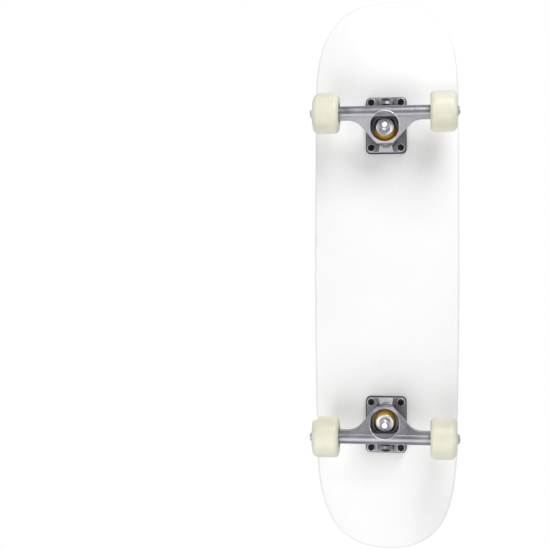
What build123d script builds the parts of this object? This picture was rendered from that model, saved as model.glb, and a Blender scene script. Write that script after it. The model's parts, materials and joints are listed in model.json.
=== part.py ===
from build123d import *

import math
import os

# A double-kick skateboard standing on its wheels. Millimetres, +Z up, +X towards the nose,
# +Y to the rider's left, origin on the ground under the middle of the deck.

# How far a cutting shape runs past what it cuts, and the least size of a real edge
CUT_MARGIN = 5.0
SMALLEST_EDGE = 0.1

# Driving dimensions of the deck
DECK_LENGTH = 787.4
DECK_WIDTH = 203.2
DECK_UNDERSIDE = 83.0
PLY_NAMES = (
    "face_veneer_bottom",
    "core_veneer_2",
    "crossband_veneer_3",
    "core_veneer_4",
    "crossband_veneer_5",
    "core_veneer_6",
    "face_veneer_top",
)
PLY_THICKNESS = 1.57
DECK_THICKNESS = PLY_THICKNESS * len(PLY_NAMES)
GRIP_THICKNESS = 0.9
GRIP_INSET = 2.6
EDGE_ROUND = 3.2
CONCAVE_FLAT = 30.0
CONCAVE_RADIUS = 300.0
CONCAVE_ANGLE = math.radians(17.0)
BEND_START = 254.0
BEND_RADIUS = 180.0
NOSE_ANGLE = 23.0
TAIL_ANGLE = 21.0
KICK_STOCK = 110.0
OUTLINE_HEIGHT = 100.0

# Half widths of the deck, each with its distance from the tip of the nose or of the tail
NOSE_OUTLINE = ((10.0, 47.0), (24.0, 67.5), (53.0, 87.2), (97.0, 97.6), (170.0, 100.6))
TAIL_OUTLINE = ((10.0, 46.5), (24.0, 65.5), (53.0, 83.7), (97.0, 94.6), (170.0, 98.9))

# Mounting hardware: M5 countersunk bolts on the usual skateboard hole pattern
WHEELBASE = 355.6
BOLT_ROWS = 63.5
BOLT_COLUMNS = 41.3
BOLT_RADIUS = 2.45
BOLT_HOLE_RADIUS = 2.6
BOLT_HEAD_RADIUS = 4.75
BOLT_HEAD_SINK = 0.25
BOLT_STICKOUT = 1.2
NUT_FLATS = 8.0
NUT_HEIGHT = 4.8
NUT_CHAMFER = 0.7
NUT_FACE_INSET = 0.3
RECESS_WIDTH = 1.1
RECESS_LENGTH = 4.6
RECESS_DEPTH = 1.6

# Trucks. In a truck's own frame x points outwards to its end of the board, z points away
# from the deck and the origin lies on the baseplate's face, between the four bolts.
TRUCK_X = WHEELBASE / 2 + BOLT_ROWS / 2
RISER_THICKNESS = 3.0
BASE_LENGTH = 76.6
BASE_WIDTH = 54.4
BASE_THICKNESS = 5.5
BASE_CORNER = 5.5
BASE_EDGE_ROUND = 1.2
RISER_MARGIN = 1.2
RISER_WINDOW = 11.0
HOLE_BOSS_RADIUS = 5.6
HOLE_BOSS_HEIGHT = 1.0
HOLE_BOSS_FLARE = 0.5
RIB_HALF_WIDTH = 4.0
RIB_PROFILE = ((-10.0, 3.0), (-4.0, 7.2), (16.0, 7.6), (22.0, 3.0))

# Kingpin line: it leans outwards through the centre of the hanger's ring
RING_CENTRE = Vector(-10.9, 0, 30.2)
KINGPIN_LEAN = math.radians(13.5)
KINGPIN_DIRECTION = Vector(math.sin(KINGPIN_LEAN), 0, math.cos(KINGPIN_LEAN))
KINGPIN_RADIUS = 4.75
KINGPIN_TIP = 25.2
KINGPIN_CHAMFER = 0.8
KINGPIN_HEAD_RADIUS = 7.5
KINGPIN_HEAD_TOP = -24.5
KINGPIN_HEAD_HEIGHT = 4.4
WASHER_THICKNESS = 1.6
WASHER_HOLE = 5.0
WASHER_ROUND = 0.5
WEB_HALF = 3.5
WEB_HOLE = 8.5
BUSHING_HOLE = 4.9
LOWER_BUSHING_RADIUS = 14.4
LOWER_BUSHING_HEIGHT = 14.0
LOWER_BUSHING_BARREL = 0.7
UPPER_BUSHING_BASE = 15.6
UPPER_BUSHING_TOP = 12.4
UPPER_BUSHING_HEIGHT = 10.0
UPPER_BUSHING_CHAMFER = (0.6, 1.0)
LOWER_WASHER_RADIUS = 13.6
UPPER_WASHER_RADIUS = 12.3
KINGPIN_NUT_FLATS = 14.3
KINGPIN_NUT_HEIGHT = 8.5
KINGPIN_NUT_CHAMFER = 1.0
SEAT_TOP = -WEB_HALF - LOWER_BUSHING_HEIGHT - WASHER_THICKNESS
SEAT_MARGIN = 0.3
BOSS_FOOT_RADIUS = 19.0
BOSS_FOOT = -38.0
GUSSET_START = -26.5
GUSSET_RUN = 11.0
GUSSET_START_SIZE = (15.5, 13.2)
GUSSET_END_SIZE = (20.5, 6.0)

# Pivot: the hanger steers about the line from the ring's centre to the pivot's centre
PIVOT_CENTRE = Vector(25.0, 0, 12.0)
STEER_DIRECTION = (PIVOT_CENTRE - RING_CENTRE).normalized()
PIVOT_RADIUS = 6.0
PIVOT_TAPER = 0.12
PIVOT_ARM = 15.0
PIVOT_CLEARANCE = 0.05
CUP_RADIUS = 8.5
CUP_MOUTH = 3.6
CUP_DEPTH = 8.0
PIVOT_BOSS_RADIUS = 11.5
PIVOT_BOSS_MOUTH = 3.0
PIVOT_BOSS_DEPTH = 16.0
PIVOT_SKIRT_HALF = 14.0
PIVOT_SKIRT = ((12.0, 0.0), (12.0, 4.0), (17.5, 3.5), (27.6, 23.7), (30.5, 23.0), (37.2, 5.0), (37.2, 0.0))

# Hanger and axle
AXLE_OFFSET = 11.5
AXLE_HEIGHT = 52.0
AXLE_RADIUS = 3.97
AXLE_LENGTH = 203.2
AXLE_CHAMFER = 0.7
HANGER_LENGTH = 133.4
BAR_RADIUS = 9.0
BAR_COLLAR_RADIUS = 8.2
BAR_COLLAR_LENGTH = 4.0
RING_LOWER_RADIUS = 16.0
RING_WAIST_RADIUS = 17.2
RING_UPPER_RADIUS = 21.2
RING_BOTTOM = -6.0
RING_SHOULDER = 9.0
RING_TOP = 16.0
LOWER_SEAT_RADIUS = 14.7
UPPER_SEAT_RADIUS = 16.4
UPPER_SEAT_DEPTH = 7.7
BOWL_CENTRE = -7.9
BOWL_FLOOR = 38.0
BOWL_FLOOR_RADIUS = 17.0
BOWL_RIM = 46.5
BOWL_RIM_RADIUS = 19.2
BOWL_TOP = 64.0
BOWL_TOP_RADIUS = 20.6
BOWL_WALL = 5.4
BOWL_CORNER = 8.6
SCOOP_FLOOR = 57.0
SCOOP_END = (17.0, 59.6)

# Shapes of the hanger seen from below, as (x, half width), and from the side, as (x, z)
WING_PLAN = ((-29.4, 11.5), (-24.1, 16.6), (2.1, 39.4), (2.1, 62.7), (AXLE_OFFSET, 62.7))
WING_BEND_RADIUS = 25.0
HANGER_TOP = ((-40.0, 44.0), (-32.6, 45.5), (-22.6, 50.0), (3.0, 58.4), (AXLE_OFFSET, 61.0))
HANGER_BELLY = ((AXLE_OFFSET, 44.0), (1.0, 42.0), (-32.6, 34.5), (-40.0, 34.0))
ARM_SIDE = ((9.1, 12.3), (15.9, 25.4), (18.0, 48.0), (0.0, 48.0), (3.4, 21.0))
ARM_HALF_WIDTH = 7.6

# Wheels and 608 bearings, along the axle from the hanger outwards
WHEEL_RADIUS = 28.0
WHEEL_WIDTH = 36.0
WHEEL_OUTER_ROUND = 8.5
WHEEL_INNER_ROUND = 6.5
WHEEL_MOUTH_RADIUS = 15.5
WHEEL_MOUTH_FLOOR = 12.0
WHEEL_BORE = 9.4
SPEED_WASHER = 1.0
SPEED_WASHER_RADIUS = 6.4
BEARING_RADIUS = 11.0
BEARING_WIDTH = 7.0
BEARING_GAP = 10.0
INNER_RACE_BORE = 4.0
INNER_RACE_RADIUS = 6.05
OUTER_RACE_BORE = 9.0
BALL_COUNT = 7
BALL_RADIUS = 1.984
BALL_PITCH = 7.5
GROOVE_RADIUS = BALL_RADIUS + 0.02
POCKET_RADIUS = BALL_RADIUS + 0.03
CAGE_INNER = 6.95
CAGE_OUTER = 8.1
CAGE_WIDTH = 4.9
SHIELD_INNER = 6.4
SHIELD_OUTER = 9.4
SHIELD_THICKNESS = 0.4
SPACER_RADIUS = 5.0
AXLE_NUT_FLATS = 12.7
AXLE_NUT_HEIGHT = 7.0
AXLE_NUT_CHAMFER = 0.9

# Places worked out from the sizes above
BEARING_CENTRE = (BEARING_GAP + BEARING_WIDTH) / 2
BEARING_END = BEARING_GAP / 2 + BEARING_WIDTH
WHEEL_OFFSET = HANGER_LENGTH / 2 + SPEED_WASHER + BEARING_END
BASE_PLANE = DECK_UNDERSIDE - RISER_THICKNESS
GRIP_TOP = DECK_UNDERSIDE + DECK_THICKNESS + GRIP_THICKNESS
BOLT_HEAD_TOP = GRIP_TOP - BOLT_HEAD_SINK
BOLT_CONE_BOTTOM = BOLT_HEAD_TOP - (BOLT_HEAD_RADIUS - BOLT_RADIUS)
KINGPIN_HEAD_X = RING_CENTRE.X - RING_CENTRE.Z * math.tan(KINGPIN_LEAN)
KINGPIN_PLANE = Plane(
    RING_CENTRE,
    x_dir=(math.cos(KINGPIN_LEAN), 0, -math.sin(KINGPIN_LEAN)),
    z_dir=KINGPIN_DIRECTION,
)
PIVOT_PLANE = Plane(PIVOT_CENTRE, x_dir=(0, 1, 0), z_dir=STEER_DIRECTION)

ENDS = {"front": 1, "rear": -1}
SIDES = {"left": 1, "right": -1}

BOLT_SPOTS = [
    (x_side * BOLT_ROWS / 2, y_side * BOLT_COLUMNS / 2) for x_side in (-1, 1) for y_side in (-1, 1)
]


# ---------------------------------------------------------------- shared shapes

def tube(plane, inner, outer, start, end):
    """A ring about a plane's normal, between two distances along it."""
    ring = Circle(outer) - Circle(inner)
    return extrude(plane.offset(start) * ring, end - start)


def rod(plane, radius, start, end):
    """A round bar along a plane's normal."""
    return extrude(plane.offset(start) * Circle(radius), end - start)


def cone(plane, start_radius, end_radius, start, end):
    """A cone along a plane's normal."""
    profile = Polygon(
        (0, start), (start_radius, start), (end_radius, end), (0, end), align=None
    )
    return turned(plane, profile)


def turned(plane, profile):
    """A profile drawn as (radius, distance along the normal), turned about that normal."""
    return plane * revolve(Plane.XZ * profile, Axis.Z)


def hex_nut(plane, flats, bore, start, height, chamfer):
    """A hexagon nut with its corners turned down at the outer end."""
    hexagon = RegularPolygon(flats / 2, 6, major_radius=False) - Circle(bore)
    body = extrude(plane.offset(start) * hexagon, height)
    corner = flats / math.sqrt(3)
    cap = cone(plane, corner + height, flats / 2 - NUT_FACE_INSET, start, start + height)
    shoulder = rod(plane, corner + height, start, start + height - chamfer)
    return body & (cap + shoulder)


def put(shape, end):
    """Moves a shape from a truck's own frame to its end of the board."""
    flip = Rotation(180, 0, 0)
    turn = Rotation(0, 0, 0 if ENDS[end] > 0 else 180)
    return Pos(ENDS[end] * TRUCK_X, 0, BASE_PLANE) * turn * flip * shape


# ---------------------------------------------------------------- deck

def layer_section(bottom, top):
    """The cross-section of one layer: flat in the middle, curling up to both sides."""

    def curl(height, side, share):
        radius = CONCAVE_RADIUS - height
        angle = CONCAVE_ANGLE * share
        across = side * (CONCAVE_FLAT + radius * math.sin(angle))
        return (across, height + radius * (1 - math.cos(angle)))

    def curl_arc(height, side):
        return ThreePointArc(curl(height, side, 0), curl(height, side, 0.5), curl(height, side, 1))

    edges = [Line(curl(bottom, 1, 0), curl(bottom, -1, 0)), Line(curl(top, 1, 0), curl(top, -1, 0))]
    for side in (-1, 1):
        edges.append(curl_arc(bottom, side))
        edges.append(curl_arc(top, side))
        edges.append(Line(curl(bottom, side, 1), curl(top, side, 1)))
    return make_face(edges)


def deck_layer(bottom, top):
    """A layer of the pressed board, wider and longer than the outline cut from it."""
    section = layer_section(bottom, top)
    flat_plane = Plane((-BEND_START, 0, DECK_UNDERSIDE), x_dir=(0, 1, 0), z_dir=(1, 0, 0))
    layer = extrude(flat_plane * section, 2 * BEND_START)
    for side, degrees in ((1, NOSE_ANGLE), (-1, TAIL_ANGLE)):
        angle = math.radians(degrees)
        start = Plane((side * BEND_START, 0, DECK_UNDERSIDE), x_dir=(0, side, 0), z_dir=(side, 0, 0))
        bend_line = Axis((side * BEND_START, 0, DECK_UNDERSIDE + BEND_RADIUS), (0, -side, 0))
        layer += revolve(start * section, bend_line, degrees)
        kick_start = (
            side * (BEND_START + BEND_RADIUS * math.sin(angle)),
            0,
            DECK_UNDERSIDE + BEND_RADIUS * (1 - math.cos(angle)),
        )
        kick_normal = (side * math.cos(angle), 0, math.sin(angle))
        kick_plane = Plane(kick_start, x_dir=(0, side, 0), z_dir=kick_normal)
        layer += extrude(kick_plane * section, KICK_STOCK)
    return layer


def outline(inset=0.0):
    """The deck's outline as a tall prism, drawn in by the inset."""
    tip = DECK_LENGTH / 2
    half_width = DECK_WIDTH / 2
    side = [(tip - back, half) for back, half in NOSE_OUTLINE]
    side += [(0, half_width)]
    side += [(back - tip, half) for back, half in reversed(TAIL_OUTLINE)]
    points = [(tip, 0), *side, (-tip, 0)] + [(x, -y) for x, y in reversed(side)]
    shrink_x = 1 - inset / tip
    shrink_y = 1 - inset / half_width
    edge = Spline(*[(x * shrink_x, y * shrink_y) for x, y in points], periodic=True)
    return extrude(Pos(0, 0, DECK_UNDERSIDE - CUT_MARGIN) * make_face(edge), OUTLINE_HEIGHT)


def rounded_blank():
    """The whole deck in one piece, its rim rounded above and below."""
    blank = deck_layer(0, DECK_THICKNESS) & outline()
    wall = blank.faces().filter_by(GeomType.EXTRUSION)[0]
    rim = [edge for edge in wall.edges() if edge.bounding_box().size.X > SMALLEST_EDGE]
    return blank.fillet(EDGE_ROUND, rim)


def bolt_positions():
    """Every mounting bolt's place on the board."""
    return [(end * TRUCK_X + x, y) for end in ENDS.values() for x, y in BOLT_SPOTS]


def bolt_holes():
    """Straight holes through the board, with the countersinks of the bolt heads."""
    holes = []
    for x, y in bolt_positions():
        plane = Plane((x, y, 0))
        hole = rod(plane, BOLT_HOLE_RADIUS, DECK_UNDERSIDE - CUT_MARGIN, GRIP_TOP + CUT_MARGIN)
        hole += rod(plane, BOLT_HEAD_RADIUS, BOLT_HEAD_TOP, GRIP_TOP + CUT_MARGIN)
        hole += cone(plane, BOLT_RADIUS, BOLT_HEAD_RADIUS, BOLT_CONE_BOTTOM, BOLT_HEAD_TOP)
        holes.append(hole)
    return holes


def make_deck():
    """Seven veneers pressed together, and the sheet of grip tape on top."""
    blank = rounded_blank()
    holes = bolt_holes()
    nodes = {}
    for index, name in enumerate(PLY_NAMES):
        bottom = index * PLY_THICKNESS
        layer = deck_layer(bottom, bottom + PLY_THICKNESS) & blank
        nodes[name] = layer - holes
    tape = deck_layer(DECK_THICKNESS, DECK_THICKNESS + GRIP_THICKNESS) & outline(GRIP_INSET)
    nodes["grip_tape"] = tape - holes
    return nodes


# ---------------------------------------------------------------- mounting hardware

def mounting_bolt(x, y):
    """A countersunk bolt with a cross recess, seen from above in the grip tape."""
    plane = Plane((x, y, 0))
    tip = BASE_PLANE - BASE_THICKNESS - HOLE_BOSS_HEIGHT - NUT_HEIGHT - BOLT_STICKOUT
    bolt = rod(plane, BOLT_RADIUS, tip, BOLT_CONE_BOTTOM)
    bolt += cone(plane, BOLT_RADIUS, BOLT_HEAD_RADIUS, BOLT_CONE_BOTTOM, BOLT_HEAD_TOP)
    recess_middle = BOLT_HEAD_TOP - RECESS_DEPTH / 2
    bolt -= Pos(x, y, recess_middle) * Box(RECESS_LENGTH, RECESS_WIDTH, RECESS_DEPTH)
    bolt -= Pos(x, y, recess_middle) * Box(RECESS_WIDTH, RECESS_LENGTH, RECESS_DEPTH)
    return bolt


def mounting_nut(x, y):
    """A lock nut under the baseplate."""
    top = BASE_PLANE - BASE_THICKNESS - HOLE_BOSS_HEIGHT
    plane = Plane((x, y, top), x_dir=(1, 0, 0), z_dir=(0, 0, -1))
    return hex_nut(plane, NUT_FLATS, BOLT_RADIUS, 0, NUT_HEIGHT, NUT_CHAMFER)


def make_hardware():
    """The eight bolts and their eight nuts."""
    return {
        "mounting_bolts": Compound([mounting_bolt(x, y) for x, y in bolt_positions()]),
        "mounting_nuts": Compound([mounting_nut(x, y) for x, y in bolt_positions()]),
    }


# ---------------------------------------------------------------- truck, fixed parts

def base_outline(margin, thickness, start):
    """The rounded plate shape that the baseplate and the riser pad share."""
    length = BASE_LENGTH + 2 * margin
    width = BASE_WIDTH + 2 * margin
    plate = RectangleRounded(length, width, BASE_CORNER + margin)
    return extrude(Pos(0, 0, start) * plate, thickness)


def base_holes():
    """The four bolt holes of the baseplate and the riser pad."""
    start = -RISER_THICKNESS - CUT_MARGIN
    end = BASE_THICKNESS + HOLE_BOSS_HEIGHT + CUT_MARGIN
    return [rod(Plane((x, y, 0)), BOLT_HOLE_RADIUS, start, end) for x, y in BOLT_SPOTS]


def side_prism(points, half_width):
    """A shape drawn as (x, z) from the side, as wide as twice the half width."""
    outline_face = make_face(Polyline(*points, close=True))
    side_plane = Plane((0, half_width, 0), x_dir=(1, 0, 0), z_dir=(0, -1, 0))
    return extrude(side_plane * outline_face, 2 * half_width)


def riser_pad():
    """A hard pad between the truck and the deck, open around the kingpin's head."""
    pad = base_outline(RISER_MARGIN, RISER_THICKNESS, -RISER_THICKNESS)
    window = Pos(KINGPIN_HEAD_X, 0, -RISER_THICKNESS / 2) * Cylinder(RISER_WINDOW, RISER_THICKNESS)
    return pad - window - base_holes()


def kingpin_boss():
    """The leaning boss under the lower bushing, with its gusset to the inner edge."""
    boss = cone(KINGPIN_PLANE, BOSS_FOOT_RADIUS, LOWER_BUSHING_RADIUS + SEAT_MARGIN, BOSS_FOOT, SEAT_TOP)
    above_face = Pos(0, 0, AXLE_HEIGHT / 2) * Box(BASE_LENGTH, BASE_WIDTH, AXLE_HEIGHT)
    section_plane = Plane((GUSSET_START, 0, 0), x_dir=(0, -1, 0), z_dir=(-1, 0, 0))
    sections = [
        section_plane.offset(run) * Pos(0, height / 2) * Rectangle(width, height)
        for run, (width, height) in ((0, GUSSET_START_SIZE), (GUSSET_RUN, GUSSET_END_SIZE))
    ]
    above_seat = rod(KINGPIN_PLANE, BASE_LENGTH / 2, SEAT_TOP, SEAT_TOP + BASE_LENGTH / 2)
    return (boss & above_face) + (loft(sections, ruled=True) - above_seat)


def pivot_boss():
    """The boss that holds the pivot cup, sloping down to the outer edge."""
    boss = rod(PIVOT_PLANE, PIVOT_BOSS_RADIUS, -PIVOT_BOSS_MOUTH, PIVOT_BOSS_DEPTH)
    return boss & side_prism(PIVOT_SKIRT, PIVOT_SKIRT_HALF)


def baseplate():
    """The cast plate that bolts to the deck and carries the kingpin and the pivot cup."""
    plate = base_outline(0, BASE_THICKNESS, 0)
    plate = fillet(plate.faces().sort_by(Axis.Z)[-1].edges(), BASE_EDGE_ROUND)
    boss_top = BASE_THICKNESS + HOLE_BOSS_HEIGHT
    for x, y in BOLT_SPOTS:
        foot_radius = HOLE_BOSS_RADIUS + HOLE_BOSS_FLARE
        plate += cone(Plane((x, y, 0)), foot_radius, HOLE_BOSS_RADIUS, BASE_THICKNESS / 2, boss_top)
    plate += side_prism(RIB_PROFILE, RIB_HALF_WIDTH)
    plate += kingpin_boss()
    plate += pivot_boss()
    plate -= rod(PIVOT_PLANE, CUP_RADIUS, -2 * PIVOT_BOSS_MOUTH, CUP_DEPTH)
    plate -= rod(KINGPIN_PLANE, KINGPIN_RADIUS, BOSS_FOOT, 0)
    plate -= rod(KINGPIN_PLANE, KINGPIN_HEAD_RADIUS, BOSS_FOOT, KINGPIN_HEAD_TOP)
    return plate - base_holes()


def pivot_nose(clearance=0.0):
    """The tapered, round-ended nose that turns in the pivot cup, about the steering line."""
    radius = PIVOT_RADIUS + clearance
    root = radius + PIVOT_TAPER * PIVOT_ARM
    nose = cone(PIVOT_PLANE, root, radius, -PIVOT_ARM, 0)
    return nose + Pos(PIVOT_CENTRE) * Sphere(radius)


def pivot_cup():
    """The plastic cup that the pivot turns in."""
    cup = rod(PIVOT_PLANE, CUP_RADIUS, -CUP_MOUTH, CUP_DEPTH)
    return cup - pivot_nose(PIVOT_CLEARANCE)


def kingpin():
    """The kingpin, pressed into the baseplate, with its round head on the deck's side."""
    pin = rod(KINGPIN_PLANE, KINGPIN_RADIUS, KINGPIN_HEAD_TOP, KINGPIN_TIP)
    pin = pin.chamfer(KINGPIN_CHAMFER, None, pin.edges().sort_by(Axis.Z)[-1:])
    head_bottom = KINGPIN_HEAD_TOP - KINGPIN_HEAD_HEIGHT
    return pin + rod(KINGPIN_PLANE, KINGPIN_HEAD_RADIUS, head_bottom, KINGPIN_HEAD_TOP)


def lower_bushing():
    """The barrel-shaped bushing on the baseplate's side of the hanger's ring."""
    top = -WEB_HALF
    bottom = top - LOWER_BUSHING_HEIGHT
    edge = LOWER_BUSHING_RADIUS - LOWER_BUSHING_BARREL
    middle = (top + bottom) / 2
    outer = ThreePointArc((edge, bottom), (LOWER_BUSHING_RADIUS, middle), (edge, top))
    rest = Polyline((edge, top), (BUSHING_HOLE, top), (BUSHING_HOLE, bottom), (edge, bottom))
    return turned(KINGPIN_PLANE, make_face([outer, rest]))


def upper_bushing():
    """The cone-shaped bushing that sits in the hanger's bowl."""
    bottom = WEB_HALF
    top = bottom + UPPER_BUSHING_HEIGHT
    chamfer_across, chamfer_up = UPPER_BUSHING_CHAMFER
    profile = Polygon(
        (BUSHING_HOLE, bottom),
        (UPPER_BUSHING_BASE - chamfer_across, bottom),
        (UPPER_BUSHING_BASE, bottom + chamfer_up),
        (UPPER_BUSHING_TOP, top),
        (BUSHING_HOLE, top),
        align=None,
    )
    return turned(KINGPIN_PLANE, profile)


def cupped_washer(radius, bottom):
    """A pressed washer with a slightly rounded outer edge."""
    washer = tube(KINGPIN_PLANE, WASHER_HOLE, radius, bottom, bottom + WASHER_THICKNESS)
    outer_edges = washer.edges().filter_by(GeomType.CIRCLE).sort_by(SortBy.RADIUS)[-2:]
    return washer.fillet(WASHER_ROUND, outer_edges)


def kingpin_nut():
    """The lock nut that squeezes the bushings."""
    start = WEB_HALF + UPPER_BUSHING_HEIGHT + WASHER_THICKNESS
    return hex_nut(
        KINGPIN_PLANE, KINGPIN_NUT_FLATS, KINGPIN_RADIUS, start, KINGPIN_NUT_HEIGHT, KINGPIN_NUT_CHAMFER
    )


# ---------------------------------------------------------------- truck, steering parts

def hanger_side(half_width):
    """The hanger's height from end to end, as a wide prism."""
    return side_prism(HANGER_TOP + HANGER_BELLY, half_width)


def hanger_wings():
    """The webs that spread from the ring to both arms of the axle bar."""
    other_side = [(x, -y) for x, y in reversed(WING_PLAN)]
    plan = make_face(Polyline(*WING_PLAN, *other_side, close=True))
    bend_x, bend_y = WING_PLAN[2]
    bends = [v for v in plan.vertices() if abs(v.X - bend_x) + abs(abs(v.Y) - bend_y) < SMALLEST_EDGE]
    plan = fillet(bends, WING_BEND_RADIUS)
    return extrude(plan, BOWL_TOP) & hanger_side(HANGER_LENGTH / 2)


def hanger_ring():
    """The round body around the kingpin, wider at its open rim."""
    profile = Polygon(
        (0, RING_BOTTOM),
        (RING_LOWER_RADIUS, RING_BOTTOM),
        (RING_WAIST_RADIUS, 0),
        (RING_UPPER_RADIUS, RING_SHOULDER),
        (RING_UPPER_RADIUS, RING_TOP),
        (0, RING_TOP),
        align=None,
    )
    below_rim = side_prism(HANGER_TOP + ((AXLE_OFFSET, 0), (HANGER_TOP[0][0], 0)), 2 * RING_UPPER_RADIUS)
    return turned(KINGPIN_PLANE, profile) & below_rim


def hanger_arm():
    """The arm from the axle bar down to the pivot's nose."""
    return side_prism(ARM_SIDE, ARM_HALF_WIDTH) + pivot_nose()


def hanger_bowl():
    """The hollow around the upper bushing, walled off from the axle by a flat."""
    bowl_plane = Plane((BOWL_CENTRE, 0, 0))
    funnel = cone(bowl_plane, BOWL_FLOOR_RADIUS, BOWL_RIM_RADIUS, BOWL_FLOOR, BOWL_RIM)
    funnel += cone(bowl_plane, BOWL_RIM_RADIUS, BOWL_TOP_RADIUS, BOWL_RIM, BOWL_TOP)
    length = 2 * BOWL_TOP_RADIUS
    room = Rectangle(length, 2 * BOWL_RIM_RADIUS)
    room = fillet(room.vertices().filter_by_position(Axis.X, 0, length), BOWL_CORNER)
    deep = extrude(Pos(BOWL_WALL - length / 2, 0) * room, BOWL_TOP)
    far = BOWL_WALL - length
    floor = ((far, SCOOP_FLOOR), (BOWL_WALL, SCOOP_FLOOR), SCOOP_END)
    shallow = side_prism(floor + ((SCOOP_END[0], 2 * BOWL_TOP), (far, 2 * BOWL_TOP)), length)
    return (funnel & deep) + (funnel & shallow)


def hanger():
    """The cast hanger: axle bar, ring, wings and pivot in one piece."""
    half = HANGER_LENGTH / 2
    axle_plane = Plane((AXLE_OFFSET, 0, AXLE_HEIGHT), x_dir=(1, 0, 0), z_dir=(0, 1, 0))
    body = rod(axle_plane, BAR_RADIUS, BAR_COLLAR_LENGTH - half, half - BAR_COLLAR_LENGTH)
    body += rod(axle_plane, BAR_COLLAR_RADIUS, -half, half)
    body += hanger_wings()
    body += hanger_ring()
    body += hanger_arm()
    body -= hanger_bowl()
    body -= rod(KINGPIN_PLANE, UPPER_SEAT_RADIUS, WEB_HALF, WEB_HALF + UPPER_SEAT_DEPTH)
    body -= rod(KINGPIN_PLANE, WEB_HOLE, RING_BOTTOM, RING_SHOULDER)
    body -= rod(KINGPIN_PLANE, LOWER_SEAT_RADIUS, 2 * RING_BOTTOM, -WEB_HALF)
    body -= rod(axle_plane, AXLE_RADIUS, -half, half)
    return body


# ---------------------------------------------------------------- axle and wheels

def axle_plane_of(side):
    """The axle line of a truck, from its middle out to one side, in the truck's frame."""
    return Plane((AXLE_OFFSET, 0, AXLE_HEIGHT), x_dir=(1, 0, 0), z_dir=(0, side, 0))


def both_sides(make):
    """The same shape made on both sides of a truck, as one group of solids."""
    shapes = [shape for side in (-1, 1) for shape in make(side)]
    return Compound(shapes)


def axle():
    """The steel axle with chamfered ends."""
    bar = rod(axle_plane_of(1), AXLE_RADIUS, -AXLE_LENGTH / 2, AXLE_LENGTH / 2)
    ends = bar.edges().filter_by(GeomType.CIRCLE)
    return bar.chamfer(AXLE_CHAMFER, None, ends)


def speed_washers(side):
    """The thin washers on both faces of the bearings of one wheel."""
    starts = (HANGER_LENGTH / 2, WHEEL_OFFSET + BEARING_END)
    return [
        tube(axle_plane_of(side), INNER_RACE_BORE, SPEED_WASHER_RADIUS, start, start + SPEED_WASHER)
        for start in starts
    ]


def axle_nut(side):
    """The lock nut that keeps one wheel on."""
    start = WHEEL_OFFSET + BEARING_END + SPEED_WASHER
    plane = axle_plane_of(side)
    return [hex_nut(plane, AXLE_NUT_FLATS, AXLE_RADIUS, start, AXLE_NUT_HEIGHT, AXLE_NUT_CHAMFER)]


def bearing_spacer(side):
    """The sleeve between the two inner races of one wheel."""
    half = BEARING_GAP / 2
    plane = axle_plane_of(side).offset(WHEEL_OFFSET)
    return [tube(plane, INNER_RACE_BORE, SPACER_RADIUS, -half, half)]


def race(plane, inner, outer, middle):
    """One race of a bearing, with the groove that the balls run in."""
    half = BEARING_WIDTH / 2
    ring = tube(plane, inner, outer, middle - half, middle + half)
    groove = plane.offset(middle) * Torus(BALL_PITCH, GROOVE_RADIUS)
    return ring - groove


def inner_races(side):
    """The inner races of both bearings of one wheel."""
    plane = axle_plane_of(side).offset(WHEEL_OFFSET)
    return [
        race(plane, INNER_RACE_BORE, INNER_RACE_RADIUS, middle)
        for middle in (-BEARING_CENTRE, BEARING_CENTRE)
    ]


def wheel_tyre(plane):
    """The cast wheel, turned about its axle, with both bearing seats."""
    half = WHEEL_WIDTH / 2
    outer_start = half - WHEEL_OUTER_ROUND
    inner_start = half - WHEEL_INNER_ROUND
    bend = math.sqrt(0.5)
    tread = Line((WHEEL_RADIUS, -inner_start), (WHEEL_RADIUS, outer_start))
    outer_round = ThreePointArc(
        (WHEEL_RADIUS, outer_start),
        (WHEEL_RADIUS - WHEEL_OUTER_ROUND * (1 - bend), outer_start + WHEEL_OUTER_ROUND * bend),
        (WHEEL_RADIUS - WHEEL_OUTER_ROUND, half),
    )
    inner_round = ThreePointArc(
        (WHEEL_RADIUS, -inner_start),
        (WHEEL_RADIUS - WHEEL_INNER_ROUND * (1 - bend), -inner_start - WHEEL_INNER_ROUND * bend),
        (WHEEL_RADIUS - WHEEL_INNER_ROUND, -half),
    )
    core = Polyline(
        (WHEEL_RADIUS - WHEEL_OUTER_ROUND, half),
        (WHEEL_MOUTH_RADIUS, half),
        (WHEEL_MOUTH_FLOOR, BEARING_END),
        (BEARING_RADIUS, BEARING_END),
        (BEARING_RADIUS, BEARING_GAP / 2),
        (WHEEL_BORE, BEARING_GAP / 2),
        (WHEEL_BORE, -BEARING_GAP / 2),
        (BEARING_RADIUS, -BEARING_GAP / 2),
        (BEARING_RADIUS, -BEARING_END),
        (WHEEL_MOUTH_FLOOR, -BEARING_END),
        (WHEEL_MOUTH_RADIUS, -half),
        (WHEEL_RADIUS - WHEEL_INNER_ROUND, -half),
    )
    return turned(plane, make_face([tread, outer_round, core, inner_round]))


def outer_races(plane):
    """The outer races of both bearings, rebated for their shields."""
    races = []
    for middle in (-BEARING_CENTRE, BEARING_CENTRE):
        ring = race(plane, OUTER_RACE_BORE, BEARING_RADIUS, middle)
        for start, end in shield_places(middle):
            ring -= tube(plane, INNER_RACE_RADIUS, SHIELD_OUTER, start, end)
        races.append(ring)
    return Compound(races)


def shield_places(middle):
    """Where the two shields of one bearing start and end along the axle."""
    face = BEARING_WIDTH / 2
    return (
        (middle - face, middle - face + SHIELD_THICKNESS),
        (middle + face - SHIELD_THICKNESS, middle + face),
    )


def bearing_shields(plane):
    """The thin shields that close both faces of both bearings."""
    places = shield_places(-BEARING_CENTRE) + shield_places(BEARING_CENTRE)
    return Compound([tube(plane, SHIELD_INNER, SHIELD_OUTER, start, end) for start, end in places])


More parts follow.
